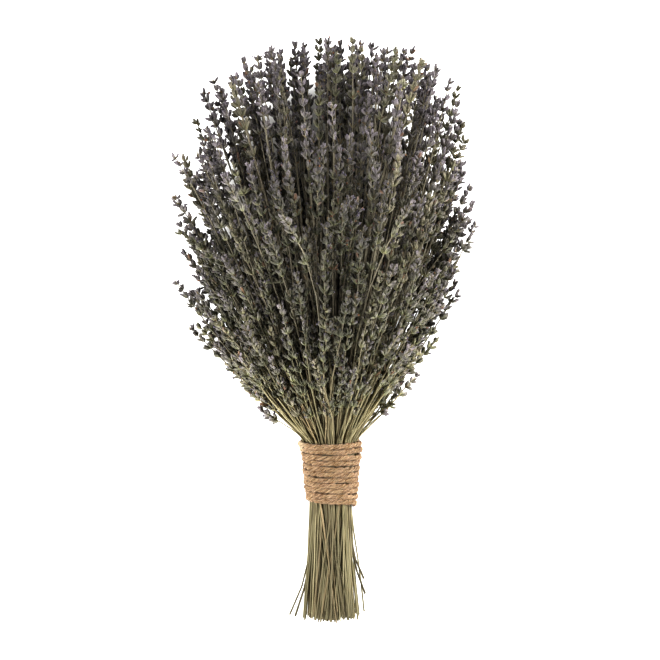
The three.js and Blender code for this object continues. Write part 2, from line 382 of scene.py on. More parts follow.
def make_filler(centre, index, rng):
    """A slimmer stem between the four of its sheaf, which the solids leave out."""
    side = math.pi / 4 + TURN / FILLERS_PER_SHEAF * index
    stem = held_stem(centre, side, FILLER_OFFSET, rng.integers(FEWEST_WHORLS, MOST_WHORLS + 1))
    place = grid_point(centre + rng.uniform(-0.5, 0.5, 2) * FILLER_SCATTER, 0, 0)
    place *= min(1, FILLER_RIM / math.hypot(*place))
    lean_stem(stem, place, 1 - FILLER_SHORTENING * rng.random() ** 1.5)
    trim(stem, rng.normal(1, OUTLINE_SCATTER))
    place_spike(stem)
    foot_y = FOOT_END + FILLER_FOOT_SCATTER * rng.random() ** 2
    stem.foot = foot_point(centre, side, FILLER_OFFSET, FILLER_FOOT_REACH * FOOT_RADIUS, foot_y)
    return stem


def make_stray(twin, tip, rise, role, bend):
    """A stem beside another of its sheaf in the tie, but to its own tip."""
    stem = SimpleNamespace(**vars(twin))
    stem.role, stem.bend, stem.whorls = role, bend, STRAY_WHORLS
    stem.slope = np.array([(tip[0] - stem.top[0]) / fan_travel(tip[1]), rise])
    aim(stem, tip[1])
    place_spike(stem)
    return stem


def add_strays(sheaves, rng):
    """Each stray goes to the sheaf whose stems point its way the most."""
    targets = [(tip, rng.uniform(LOWEST_RISE, HIGHEST_RISE), "stray", 0) for tip in STRAY_TIPS]
    targets.append((STALK_TIP, STALK_RISE, "stalk", 0))
    targets += [((x - bend, y), rise, "bent", bend) for x, y, bend, rise in BENT_TIPS]
    for tip, rise, role, bend in targets:
        slope = np.array([tip[0] / fan_travel(tip[1]), rise])
        stems = min(sheaves, key=lambda stems: np.linalg.norm(stems[0].slope - slope))
        stems.append(make_stray(stems[-1], tip, rise, role, bend))


def part_feet(fillers):
    """Sends the nearest of these cut ends out to their lone places."""
    for x, y in LONE_FEET:
        plain = [stem for stem in fillers if stem.role == "plain"]
        stem = min(plain, key=lambda stem: abs(stem.low[0] - x / 2) + LONE_WEIGHT * stem.foot[2])
        stem.role = "lone"
        stem.foot = np.array([x, y, LONE_HEIGHT])


def slant_feet(fillers, rng):
    """Lays some of the uppermost of these stems across the others, below the tie."""
    for stem in fillers:
        upper = stem.role == "plain" and stem.low[1] > SLANTED_ABOVE
        if upper and rng.random() < SLANTED_SHARE:
            stem.slant = rng.uniform(*SLANT)
            x = stem.low[0] - math.copysign(stem.slant, stem.low[0])
            stem.foot = np.array([x, stem.foot[1], math.sqrt(FOOT_RADIUS ** 2 - x ** 2) + SLANT_RISE])


def make_sheaves():
    """Every sheaf: the four stems of its solid, then its fillers and its single stems."""
    draw = seeded_random(SEED)
    placed = []
    centres = sheaf_centres()
    sheaves = []
    for centre in centres:
        for index in range(STEMS_PER_SHEAF):
            draws = [make_stem(centre, index, draw) for _ in range(DRAWS)]
            placed.append(max(draws, key=lambda stem: tightest_room(stem, placed)))
        sheaves.append(placed[-STEMS_PER_SHEAF:])

    rng = np.random.default_rng([SEED, 1])
    cover = first_cover()
    for stem in placed:
        trim(stem, rng.normal(1, OUTLINE_SCATTER))
        np.add.at(cover, patches(stem), 1)
    for centre, stems in zip(centres, sheaves):
        for index in range(FILLERS_PER_SHEAF):
            draws = [make_filler(np.array(centre), index, rng) for _ in range(FILLER_DRAWS)]
            stems.append(max(draws, key=lambda stem: usefulness(stem, cover)))
            np.add.at(cover, patches(stems[-1]), 1)
    add_strays(sheaves, rng)
    added = [stem for stems in sheaves for stem in stems[STEMS_PER_SHEAF:]]
    upper = [stem for stem in added if stem.foot[2] > UPPER_FOOT]
    part_feet(upper)
    slant_feet(upper, np.random.default_rng([SEED, 2]))
    return sheaves


def lay_down(points):
    """The bunch's own frame to the surface: lean it and lift it."""
    laid = np.array(points, dtype=float)
    laid[:, 1] = points[:, 1] * math.cos(LEAN) - points[:, 2] * math.sin(LEAN)
    laid[:, 2] = points[:, 1] * math.sin(LEAN) + points[:, 2] * math.cos(LEAN) + TIE_HEIGHT
    return laid


def find_shift():
    """The step from the laid bunch to the model's own origin, from where its twine lies."""
    steps = np.arange(TWINE_TURNS * TWINE_STEPS_PER_TURN + 1)[:, None]
    angles = steps * TURN / TWINE_STEPS_PER_TURN
    around = ring_angles(TWINE_SIDES)
    y = twine_place(steps / steps[-1])
    radii = twine_radius(y) + np.cos(around) * TWINE_DIAMETER / 2
    along = y - np.sin(around) * TWINE_DIAMETER / 2
    points = np.stack([np.cos(angles) * radii, along, np.sin(angles) * radii], -1)
    laid = lay_down(points.reshape(-1, 3))
    low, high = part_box("twine")
    return (np.array(low) + np.array(high)) / 2 / MM - (laid.min(0) + laid.max(0)) / 2


# Meshes

# The length along a tube that is 1 in its UVs, and the side where its rings start
UV_LENGTH = 10.0
X_SIDE = np.array([1.0, 0, 0])


def new_object(name, data):
    """Puts a mesh, a light or the camera into the scene."""
    made = bpy.data.objects.new(name, data)
    bpy.context.scene.collection.objects.link(made)
    return made


class Surface:
    """Gathers the points and faces of one piece, with the tones and UVs of its materials."""

    def __init__(self, materials):
        self.materials = materials
        self.points = []
        self.tones = []
        self.corners = []
        self.uvs = []
        self.sizes = []
        self.kinds = []
        self.count = 0

    def add_points(self, points, tones):
        self.points.append(points)
        self.tones.append(np.broadcast_to(tones, (len(points), 4)))
        self.count += len(points)

    def add_faces(self, faces, uvs, material):
        """Adds faces (m, k) with their corners' UVs (m, k, 2), ahead of the points that they join."""
        self.corners.append((faces + self.count).ravel())
        self.uvs.append(uvs.reshape(-1, 2))
        self.sizes.append(np.full(len(faces), faces.shape[1]))
        self.kinds.append(np.full(len(faces), self.materials.index(material)))

    def make_piece(self, name, node):
        """Makes the piece, in metres, in place of its node, and presses its underside flat."""
        points = lay_down(np.concatenate(self.points)) + shift
        points[:, 2] = np.maximum(points[:, 2], 0)
        corners = np.concatenate(self.corners)
        sizes = np.concatenate(self.sizes)
        mesh = bpy.data.meshes.new(name)
        mesh.vertices.add(len(points))
        mesh.vertices.foreach_set("co", (points * MM).ravel())
        mesh.loops.add(len(corners))
        mesh.loops.foreach_set("vertex_index", corners)
        mesh.polygons.add(len(sizes))
        mesh.polygons.foreach_set("loop_start", np.cumsum(sizes) - sizes)
        for material in self.materials:
            mesh.materials.append(bpy.data.materials[material])
        mesh.polygons.foreach_set("material_index", np.concatenate(self.kinds))
        mesh.uv_layers.new(name="UVMap").data.foreach_set("uv", np.concatenate(self.uvs).ravel())
        tones = mesh.color_attributes.new("tone", "FLOAT_COLOR", "POINT")
        tones.data.foreach_set("color", np.concatenate(self.tones).ravel())
        mesh.update(calc_edges=True)
        mesh.validate()
        mesh.shade_smooth()
        made = new_object(name, mesh)
        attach(made, "root")
        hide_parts(node)


def unit(vectors):
    return vectors / np.linalg.norm(vectors, axis=-1, keepdims=True)


def square_to(along, vectors):
    """The parts of these vectors that are square to a line."""
    return unit(vectors - along * (vectors * along).sum(-1, keepdims=True))


def ring_angles(sides):
    return np.arange(sides) * TURN / sides


def tube_faces(rings, sides, heights, closed=True):
    """The walls between rings of points, and their UVs: 1 across is once round."""
    ring, side = [index.ravel() for index in np.indices((rings - 1, sides))]
    around = sides if closed else sides + 1
    low = ring * around + side
    after = ring * around + (side + 1) % around
    quads = np.stack([low, after, after + around, low + around], -1)
    left, right = side / sides, (side + 1) / sides
    bottom, top = np.asarray(heights)[ring], np.asarray(heights)[ring + 1]
    uvs = np.stack([left, bottom, right, bottom, right, top, left, top], -1).reshape(-1, 4, 2)
    return quads, uvs


def cap_faces(first, sides, apex, height, flip=False):
    """Triangles from a ring to a point, all at one height of the UVs."""
    side = np.arange(sides)
    after = (side + 1) % sides
    faces = np.stack([first + side, first + after, np.full(sides, apex)], -1)
    across = np.stack([side / sides, (side + 1) / sides, (side + 0.5) / sides], -1)
    uvs = np.stack([across, np.full((sides, 3), height)], -1)
    return (faces[:, ::-1], uvs[:, ::-1]) if flip else (faces, uvs)


def ring_walls(radii, heights):
    """Points round an upright axis, with a row of radii and heights a ring."""
    angles = ring_angles(radii.shape[1])
    return np.stack([radii * np.cos(angles), radii * np.sin(angles), heights], -1).reshape(-1, 3)


def tube_points(line, firsts, seconds, radii, angles):
    """Rings of points round a line; the angles are the same for every ring, or one row each."""
    angles = np.broadcast_to(angles, (len(line), np.shape(angles)[-1]))[..., None]
    around = np.cos(angles) * firsts[:, None] + np.sin(angles) * seconds[:, None]
    return (line[:, None] + around * np.asarray(radii)[:, None, None]).reshape(-1, 3)


def add_tube(surface, rings, sides, reach, wall, first_end):
    """Adds a tube's walls and both its ends, ahead of its rings and the middles of its ends."""
    last = rings * sides
    reach = reach / UV_LENGTH
    surface.add_faces(*tube_faces(rings, sides, reach), wall)
    surface.add_faces(*cap_faces(0, sides, last, 0, flip=True), first_end)
    surface.add_faces(*cap_faces(last - sides, sides, last + 1, reach[-1]), wall)


def line_frames(line):
    """Directions along a line and square to it."""
    along = unit(np.gradient(line, axis=0))
    firsts = square_to(along, X_SIDE)
    return along, firsts, np.cross(along, firsts)


def line_reach(line):
    """Length of the line up to each of its points."""
    return np.concatenate([[0], np.cumsum(np.linalg.norm(np.diff(line, axis=0), axis=1))])


def outward_from(along, angles):
    """Directions square to a line, at these angles round it."""
    firsts = square_to(along, X_SIDE)
    return firsts * np.cos(angles)[:, None] + np.cross(along, firsts) * np.sin(angles)[:, None]


def tilt_away(along, outward, tilts):
    return along * np.cos(tilts)[:, None] + outward * np.sin(tilts)[:, None]


# Stems

STEM_RINGS_APART = 24.0
STEM_FACETS = 5
STEM_RADII = {0: 0.3, 30: 0.5, 120: 0.62, 190: 0.82, 250: 0.94}
FOOT_THINNING = 0.7
FOOT_LONGER = 2.0
FOOT_RINGS = 5
FOOT_ASIDE = 3.2
MOST_FOOT_ASIDE = 3.8
FOOT_SWAY = 0.4
FOOT_THIN_BELOW = -60.0
FOOT_PAINTED_SHADE_BELOW = -35.0
END_HOLLOW = 0.25
FILLER_GIRTH = 0.8
FILLER_FOOT_THINNING = 0.62
FOOT_GATHER = 0.96
FILLER_PAINTED_FOOT_SHADE = 0.85
LONE_BEND = 2.4
TIE_FILL = 1.06
TIE_FILL_LEFT = 1.17
TURN_PLACE = 20.4
TURN_SOFTNESS = 1.3
TURN_RETURN = 3.3
TURN_RETURN_END = 130.0
TURN_RINGS = [12, 20, 21.5, 23, 25.5, 30]
FAN_START = 40.0
FAN_SWAY = 2.4
WIDE_SWAY = 6.0
WIDE_SWAY_SHARE = 0.16
TIP_SCATTER = 3.2
DROOPING_SHARE = 0.08
DROOP = 12.0


def wander(share, size, rng):
    """A slow sideways wander that starts from nothing."""
    turns = rng.uniform(0.5, 1.4, 2)
    starts = rng.uniform(0, TURN, 2)
    sway = np.sin(share[:, None] * turns * TURN + starts) - np.sin(starts)
    return sway * size * rng.uniform(0.3, 1, 2)


def foot_line(stem, rng):
    """Middle line of a stem from its cut end up to the tie."""
    ys = np.linspace(stem.foot[1] - FOOT_LONGER, JOINED_LOW, FOOT_RINGS)
    share = (ys - JOINED_LOW) / (stem.foot[1] - JOINED_LOW)
    foot = stem.foot[[0, 2]]
    if stem.role == "lone":
        share = share ** LONE_BEND
    elif not stem.slant:
        aside = np.clip(rng.normal(0, FOOT_ASIDE, 2), -MOST_FOOT_ASIDE, MOST_FOOT_ASIDE)
        foot = foot * FOOT_GATHER + aside * [1, stem.foot_thinning]
    across = stem.low + (foot - stem.low) * share[:, None] + rng.uniform(-0.5, 0.5, 2)
    return np.insert(across + wander(share, FOOT_SWAY, rng), 1, ys, axis=1)


def turned_travel(ys):
    """Sideways travel of a stem that turns sharply over the top of the twine."""
    height = np.clip(ys - TURN_PLACE, 0, None)
    travel = height - TURN_SOFTNESS * (1 - np.exp(-height / TURN_SOFTNESS))
    return travel - TURN_RETURN * smoothstep(ys, FAN_START, TURN_RETURN_END)


def fan_line(stem, rng):
    """Middle line of a stem from inside the tie to its tip."""
    steps = max(4, round((stem.tip[1] - FAN_START) / STEM_RINGS_APART))
    ys = np.concatenate([TURN_RINGS, np.linspace(FAN_START, stem.tip[1], steps)])
    share = share_of(ys, JOINED_TOP, stem.tip[1])
    fill = np.array([TIE_FILL if stem.top[0] > 0 else TIE_FILL_LEFT, TIE_FILL])
    across = stem.top * fill + stem.slope * turned_travel(ys)[:, None]
    sway = FAN_SWAY if rng.random() > WIDE_SWAY_SHARE else WIDE_SWAY
    across += wander(share, sway, rng) + (share ** 3)[:, None] * rng.normal(0, TIP_SCATTER, 2)
    if rng.random() < DROOPING_SHARE:
        droop = np.array([rng.normal(0, DROOP), rng.uniform(-DROOP, 0)])
        across += (share ** 9)[:, None] * droop
    across[:, 0] += share ** 5 * stem.bend
    return np.insert(across, 1, ys, axis=1)


def add_stem(surface, stem, rng):
    stem.line = np.concatenate([foot_line(stem, rng), fan_line(stem, rng)])
    stem.along, firsts, seconds = line_frames(stem.line)
    stem.reach = line_reach(stem.line)
    below = stem.reach[-1] - stem.reach
    radii = np.interp(below, list(STEM_RADII), list(STEM_RADII.values())) * stem.girth
    radii *= np.interp(stem.line[:, 1], [FOOT_THIN_BELOW, TIE_LOW], [stem.foot_thinning, 1])
    angles = ring_angles(STEM_FACETS) + stem.turn
    points = tube_points(stem.line, firsts, seconds, radii, angles)
    add_tube(surface, len(stem.line), STEM_FACETS, stem.reach, "stem", "cut_end")
    hollow = stem.line[0] + stem.along[0] * END_HOLLOW
    tones = np.tile([rng.random(), stem.hue, stem.light, 1], (len(points) + 2, 1))
    # Painted shade: the feet of fillers are darker below the tie, where they lie deep among the other
    # stems
    shades = np.interp(stem.line[:, 1], [FOOT_PAINTED_SHADE_BELOW, TIE_LOW], [stem.foot_shade, 0])
    tones[:-2, 2] -= np.repeat(shades, STEM_FACETS)
    surface.add_points(np.concatenate([points, [hollow, stem.line[-1]]]), tones)


def point_on(stem, below):
    """The place and direction of a stem at lengths below its tip."""
    distance = np.clip(stem.reach[-1] - below, 0, None)
    place = np.stack([np.interp(distance, stem.reach, stem.line[:, i]) for i in range(3)], -1)
    along = np.stack([np.interp(distance, stem.reach, stem.along[:, i]) for i in range(3)], -1)
    return place, unit(along)


# Small parts, each a shape one long and one wide

BUD_FACETS = 5
OPEN_HEIGHTS = [0, 0.45, 0.9]
OPEN_WIDTHS = [0.42, 1, 0.82]
CLOSED_HEIGHTS = [0, 0.32, 0.74]
CLOSED_WIDTHS = [0.5, 1, 0.8]
OPEN_SHARE = 0.38
BUD_SHAPES = 12
PETAL_FACETS = 4
PETAL_SHAPES = 6
LEAF_SHAPES = 6


class Shapes:
    """Copies of a few small shapes, placed many at a time."""

    def __init__(self, points, curls, faces, material):
        self.points = np.array(points)
        self.bends = np.array(curls)[:, None] * self.points[..., 2] ** 2
        self.faces = faces
        self.material = material

    def add(self, surface, rng, places, outward, along, lengths, widths, tones):
        """Places one copy at each place: it points along, and its x side faces outward."""
        count = len(places)
        chosen = rng.integers(len(self.points), size=count)
        x_side = square_to(along, outward)
        y_side = np.cross(along, x_side)
        shape = self.points[chosen]
        x = shape[..., 0] * widths[:, None] + self.bends[chosen] * lengths[:, None]
        y = shape[..., 1] * widths[:, None]
        z = shape[..., 2] * lengths[:, None]
        points = places[:, None] + x[..., None] * x_side[:, None]
        points += y[..., None] * y_side[:, None] + z[..., None] * along[:, None]
        size = shape.shape[1]
        offsets = (np.arange(count) * size)[:, None, None]
        for faces, uvs in self.faces:
            every = (faces[None] + offsets).reshape(-1, faces.shape[1])
            surface.add_faces(every, np.tile(uvs, (count, 1, 1)), self.material)
        surface.add_points(points.reshape(-1, 3), np.repeat(tones, size, axis=0))


def bud_shapes(rng, ring_heights, ring_widths, tip, end):
    """Slim calyces, a little crooked, up to a tip; the colour of their end is at this height."""
    rings = len(ring_heights)
    points, curls = [], []
    for _ in range(BUD_SHAPES):
        radii = np.array(ring_widths)[:, None] * rng.uniform(0.86, 1.14, (rings, BUD_FACETS))
        heights = np.repeat(np.array(ring_heights, dtype=float)[:, None], BUD_FACETS, 1)
        heights[-1] += rng.uniform(-0.06, 0.1, BUD_FACETS)
        points.append(np.concatenate([ring_walls(radii, heights), [[0, 0, tip]]]))
        curls.append(-rng.uniform(-0.06, 0.2))
    last = (rings - 1) * BUD_FACETS
    cap, cap_uvs = cap_faces(last, BUD_FACETS, last + BUD_FACETS, end)
    cap_uvs[:, :2, 1] = ring_heights[-1]
    return Shapes(points, curls, [tube_faces(rings, BUD_FACETS, ring_heights), (cap, cap_uvs)], "calyx")


def petal_shapes(rng):
    """The dried, crumpled mouth of a flower."""
    points = []
    for _ in range(PETAL_SHAPES):
        radii = np.array([[0.5], [0.9]]) * rng.uniform(0.6, 1.4, (2, PETAL_FACETS))
        heights = np.array([[0], [0.9]]) + rng.uniform(-0.1, 0.35, (2, PETAL_FACETS))
        points.append(np.concatenate([ring_walls(radii, heights), [[0, 0, 0.6]]]))
    cap = cap_faces(PETAL_FACETS, PETAL_FACETS, 2 * PETAL_FACETS, 1)
    return Shapes(points, [0] * PETAL_SHAPES, [tube_faces(2, PETAL_FACETS, [0, 1]), cap], "petal")


def leaf_shapes(rng, widths, cup):
    """Small leaves, folded along the middle and curled away at the tip."""
    rows = len(widths)
    heights = np.linspace(0, 1, rows + 1)[:-1]
    points, curls = [], []
    for _ in range(LEAF_SHAPES):
        spread = np.array(widths)[:, None] * np.array([-1, 0, 1]) * rng.uniform(0.85, 1.15, (rows, 3))
        blade = np.stack([-np.abs(spread) * cup, spread, np.repeat(heights[:, None], 3, 1)], -1)
        points.append(np.concatenate([blade.reshape(-1, 3), [[0, 0, 1]]]))
        curls.append(rng.uniform(-0.05, 0.3))
    tips = np.array([[0, 1, 3], [1, 2, 3]]) + (rows - 1) * 3
    edge = heights[-1]
    tip_uvs = np.array([[[0, edge], [0.5, edge], [0.5, 1]], [[0.5, edge], [1, edge], [0.5, 1]]])
    return Shapes(points, curls, [tube_faces(rows, 2, heights, closed=False), (tips, tip_uvs)], "bract")


# Flower spikes

TIP_WHORL = 3.5
FIRST_PITCH = 5.2
PITCH_GROWTH = 1.2
WIDEST_PITCH = 9.6
LONE_WHORL_GAP = 14.0
WHORL_BUDS = [4, 5, 7, 9]
LONE_WHORL_BUDS = 7
LOWEST_WHORL = 36.0
LOWEST_STRAY_WHORL = 26.0
OLDEST_WHORL = 5
STALK_WHORLS = np.array([0.5, 2, 4])

BUD_TURN = 0.66
BUD_TILT = (33, 14)
BUD_TILT_LIMITS = (3, 64)
BUD_LENGTHS = (4.7, 6.7)
BUD_WIDTHS = (0.84, 1.14)
BUD_START = 0.5
LOST_BUDS = 0.06
BRACTS = SimpleNamespace(tilts=(20, 52), lengths=(2.6, 3.9), widths=(0.9, 1.4), start=0.4)
LEAVES = SimpleNamespace(tilts=(12, 40), lengths=(4, 9), widths=(0.45, 0.8), start=0.5)
LEAFY_SHARE = 0.35

# The hue runs from young to old up to this share, and to straw above it
STRAW_HUE = 0.8

# What the colours and the painted light and shade change with: a stem's slope aside, and where its tip
# lies
EDGE_SLOPE = 0.4
GREENER = {120: 0.5, 160: 0.42, 220: 0.18, 270: -0.45}
GREENER_ASIDE = 0.4
LOW_TIPS = (145.0, 85.0)
FAR_TIPS = (210.0, 270.0)


def whorl_places(length, rng):
    """Lengths below the tip of a spike's whorls, closer together towards the tip."""
    places = [TIP_WHORL]
    pitch = FIRST_PITCH
    while places[-1] + pitch < length - LONE_WHORL_GAP:
        places.append(places[-1] + pitch * rng.uniform(0.88, 1.12))
        pitch = min(pitch * PITCH_GROWTH, WIDEST_PITCH)
    places.append(length - rng.uniform(0, 4))
    return np.array(places)


def part_tones(hue, light, count, rng):
    """Each part's own shade, with the hue and lightness that it shares with the others."""
    return np.stack([rng.random(count), np.full(count, hue), np.full(count, light), np.ones(count)], -1)


def greener(stem):
    """How much greener a stem's buds are than their age makes them."""
    aside = share_of(abs(stem.slope[0]), 0, EDGE_SLOPE)
    return np.interp(stem.tip[1], list(GREENER), list(GREENER.values())) - GREENER_ASIDE * aside


def add_pair(surface, stem, below, turns, shapes, look, size, rng):
    """Two bracts or leaves on opposite sides of the stem."""
    middles, along = point_on(stem, np.array([below, below]))
    outward = outward_from(along, turns)
    points_to = tilt_away(along, outward, np.radians(rng.uniform(*look.tilts, 2)))
    shapes.add(surface, rng, middles + outward * look.start, outward, points_to,
               rng.uniform(*look.lengths, 2) * size, rng.uniform(*look.widths, 2) * size,
               part_tones(stem.hue, stem.light, 2, rng))


def add_whorl(surface, stem, below, turn, age, count, parts, rng):
    """Two fans of buds on opposite sides of the stem, over two papery bracts."""
    size = 0.87 + 0.13 * min(1, age * 2)
    angles = turn + np.arange(count) % 2 * math.pi + rng.normal(0, BUD_TURN, count)
    tilts = np.radians(np.clip(rng.normal(*BUD_TILT, count), *BUD_TILT_LIMITS)) * stem.openness
    rises = rng.uniform(-0.5, 1.1, count) * size - np.degrees(tilts) * 0.02
    kept = rng.random(count) > LOST_BUDS
    angles, tilts, rises = angles[kept], tilts[kept], rises[kept]
    count = len(angles)
    middles, along = point_on(stem, below - rises)
    outward = outward_from(along, angles)
    points_to = tilt_away(along, outward, tilts)
    lengths = rng.uniform(*BUD_LENGTHS, count) * size * (0.85 + 0.22 * age) * stem.bud_size
    widths = rng.uniform(*BUD_WIDTHS, count) * size * (1.14 - 0.24 * age) * stem.bud_size
    starts = middles + outward * BUD_START
    hue = stem.hue
    if hue <= STRAW_HUE:
        hue = min(max(age + greener(stem), 0), 1) * STRAW_HUE
    tones = part_tones(hue, stem.light, count, rng)
    opened = rng.random(count) < OPEN_SHARE
    for buds, chosen in ((parts.open_buds, opened), (parts.closed_buds, ~opened)):
        buds.add(surface, rng, starts[chosen], outward[chosen], points_to[chosen],
                 lengths[chosen], widths[chosen], tones[chosen])

    bloomed = rng.random(count) < stem.bloom
    if bloomed.any():
        ends = starts + points_to * (lengths * 0.84)[:, None]
        parts.petals.add(surface, rng, ends[bloomed], outward[bloomed], points_to[bloomed],
                         rng.uniform(0.9, 1.9, bloomed.sum()), widths[bloomed] * 0.85, tones[bloomed])
    turns = turn + np.array([0, math.pi]) + rng.normal(0, 0.2, 2)
    add_pair(surface, stem, below + 0.6, turns, parts.bracts, BRACTS, size, rng)


def add_spike(surface, stem, parts, rng):
    """The whorls of one spike, each turned a quarter from the last and larger below the tip."""
    places = whorl_places(stem.length * rng.uniform(1, 1.2), rng)
    if stem.role == "stalk":
        places = STALK_WHORLS
    lowest = LOWEST_STRAY_WHORL if stem.role == "stray" else LOWEST_WHORL
    places = places[stem.tip[1] - places > lowest]
    turn = rng.uniform(0, TURN)
    for whorl, below in enumerate(places):
        count = WHORL_BUDS[min(whorl, len(WHORL_BUDS) - 1)]
        if whorl == len(places) - 1:
            count = LONE_WHORL_BUDS
        age = min(1, whorl / OLDEST_WHORL)
        add_whorl(surface, stem, below, turn + whorl * math.pi / 2, age, count, parts, rng)


def add_leaves(surface, stem, parts, rng):
    """A pair or two of small dry leaves on the bare stem, some way below the spike."""
    for below in stem.length + rng.uniform(8, 70, rng.integers(1, 3)):
        if point_on(stem, np.array([below]))[0][0, 1] < BEND_END:
            continue
        turns = rng.uniform(0, TURN) + np.array([0, math.pi])
        add_pair(surface, stem, below, turns, parts.leaves, LEAVES, 1, rng)


def painted_light_by_place(stem):
    """How light a stem's spike is painted: painted shade deep in the bunch and in the middle of the
    head, painted light out at the sides, the low end and the far end, with the most on the right.
    """
    left = share_of(-stem.slope[0], 0, EDGE_SLOPE)
    right = share_of(stem.slope[0], 0, EDGE_SLOPE)
    low = share_of(stem.tip[1], *LOW_TIPS)
    far = share_of(stem.tip[1], *FAR_TIPS)
    outer = (stem.slope[1] - 0.06 + 0.5 * abs(stem.slope[0])) / 0.3 + 0.4 * right + low + 0.3 * far
    return min(max(outer, -0.1), 0.35 + 0.8 * left + 1.3 * right + 1.2 * low + 0.7 * far)


def dress(stem, is_filler, rng):
    """A stem's own colours and thickness, and how its buds stand."""
    stem.hue = rng.random()
    # Half the lightness is the stem's own random tone, half is painted light and shade from its place
    # in the bunch
    stem.light = 0.5 * rng.random() + 0.5 * painted_light_by_place(stem)
    stem.girth = rng.uniform(0.82, 1.2) * (FILLER_GIRTH if is_filler else 1)
    stem.foot_thinning, stem.foot_shade = FOOT_THINNING, 0
    # Fillers that lie deep in the foot get painted shade there; slanted ones cross on top and get none
    if is_filler and not stem.slant:
        stem.foot_thinning, stem.foot_shade = FILLER_FOOT_THINNING, FILLER_PAINTED_FOOT_SHADE
    stem.turn = rng.uniform(0, math.pi / 2)
    stem.openness = rng.uniform(0.8, 1.4)
    stem.bud_size = rng.uniform(0.88, 1.1)
    stem.bloom = rng.choice([0.02, 0.06, 0.25], p=[0.5, 0.35, 0.15])
    if stem.role == "lone":
        stem.girth, stem.light, stem.foot_shade = 1.35, 0, 0
    elif stem.role == "bent":
        stem.girth, stem.light = 1.0, 1.1
    elif stem.role == "stalk":
        stem.hue, stem.light, stem.girth, stem.openness = 0.85, 1.5, STALK_GIRTH, 1.5


def sheaf_piece(number, stems, parts):
    surface = Surface(["stem", "cut_end", "calyx", "petal", "bract"])
    for index, stem in enumerate(stems):
        rng = np.random.default_rng([SEED, number, index])
        dress(stem, index >= STEMS_PER_SHEAF, rng)
        add_stem(surface, stem, rng)
        add_spike(surface, stem, parts, rng)
        if rng.random() < LEAFY_SHARE:
            add_leaves(surface, stem, parts, rng)
    surface.make_piece(f"lavender_{number:02d}", f"sheaf_{number:02d}")


# Twine

PLIES = 3
PLY_RADIUS = 1.12
PLY_OFFSET_OUT = 0.72
PLY_OFFSET_ALONG = 1.15
PLY_TWIST = 15.0
PLY_FACETS = 6
PLY_RINGS_PER_TURN = 72
PALE_OUT = (17.0, 20.0)
PALE_UP = (14.0, 17.0)
FIBRES = 1300
FIBRE_RINGS = 5
FIBRE_FACETS = 3
FIBRE_RADII = (0.055, 0.025)
FIBRE_LENGTHS = (2, 6)


def bell(value, middle, width):
    return np.exp(-((value - middle) / width) ** 2)


def twine_line():
    """Middle line of the twine and its outward directions, with the slack of a hand-wound tie."""
    turns = np.linspace(0, TWINE_TURNS, TWINE_TURNS * PLY_RINGS_PER_TURN + 1)
    angles = turns * TURN
    left = np.clip(-np.cos(angles), 0, 1)
    right = np.clip(np.cos(angles), 0, 1)

    # Uneven turns: the upper ones stand out at the left and right, and both ends dip in
    radii = twine_radius(twine_place(turns / TWINE_TURNS))
    radii += 0.2 * np.sin(angles * 0.37 + 1) + 0.16 * np.sin(angles * 2.13)
    radii += 2.0 * left * share_of(turns, 8.8, 10.3)
    radii += 1.1 * right * bell(turns, 8.8, 1.4) - 1.1 * left * bell(turns, 0.5, 3)
    radii -= 1.6 * bell(turns, TWINE_TURNS, 0.06) + 1.0 * bell(turns, 0, 0.04)

    # Turns that lie slanted and closer together here and there
    y = twine_place(turns / TWINE_TURNS)
    y += 0.2 * np.sin(angles * 0.57 + 0.6) + 0.2 * np.sin(angles * 2.7) + 0.14 * np.sin(angles * 5.3)
    y += 2.0 * share_of(turns, 4, 10.5) - 3.0 * np.exp(-turns * 13)
    y += 1.4 * right * bell(turns, 10, 2.2) - 0.8 * left * bell(turns, 10.5, 0.4)
    y -= 0.7 * right * bell(turns, 1, 1) + 2.4 * share_of(turns, 10.6, TWINE_TURNS)

    outward = np.stack([np.cos(angles), np.zeros_like(angles), np.sin(angles)], -1)
    line = outward * radii[:, None]
    line[:, 1] = y
    return line, outward


def add_plies(surface, line, outward):
    """Three plies twisted round the middle line. Their tones say how near a turn's edge they are, for
    the painted shade in the grooves.
    """
    along = unit(np.gradient(line, axis=0))
    outward = square_to(along, outward)
    sideways = np.cross(along, outward)
    reach = line_reach(line)
    turned = reach * TURN / PLY_TWIST
    lumps = 1 + 0.08 * np.sin(reach * 0.31) + 0.07 * np.sin(reach * 0.83 + 2)
    for ply in range(PLIES):
        twist = ply * TURN / PLIES - turned + 0.5 * np.sin(reach * 0.19)
        away = outward * (PLY_OFFSET_OUT * np.cos(twist) * lumps)[:, None]
        away += sideways * (PLY_OFFSET_ALONG * np.sin(twist) * lumps)[:, None]
        middle = line + away
        ply_along = unit(np.gradient(middle, axis=0))
        firsts = square_to(ply_along, outward)
        seconds = np.cross(ply_along, firsts)
        radii = PLY_RADIUS * lumps * (1 + 0.08 * np.sin(reach * 1.1 + ply * 2))
        angles = ring_angles(PLY_FACETS)[None] - turned[:, None]
        points = tube_points(middle, firsts, seconds, radii, angles)
        add_tube(surface, len(line), PLY_FACETS, reach, "jute", "jute")

        from_line = points - np.repeat(line, PLY_FACETS, axis=0)
        edge = np.abs((from_line * np.repeat(sideways, PLY_FACETS, axis=0)).sum(-1))
        pale = share_of(-middle[:, 0], *PALE_OUT) * share_of(middle[:, 1], *PALE_UP)
        tones = np.tile([ply / 2, 0, 0, 1.0], (len(points) + 2, 1))
        tones[:-2, 1] = edge / (PLY_OFFSET_ALONG + PLY_RADIUS)
        tones[:, 2] = 0.5 + 0.5 * np.concatenate([np.repeat(pale, PLY_FACETS), pale[[0, -1]]])
        surface.add_points(np.concatenate([points, middle[[0, -1]]]), tones)


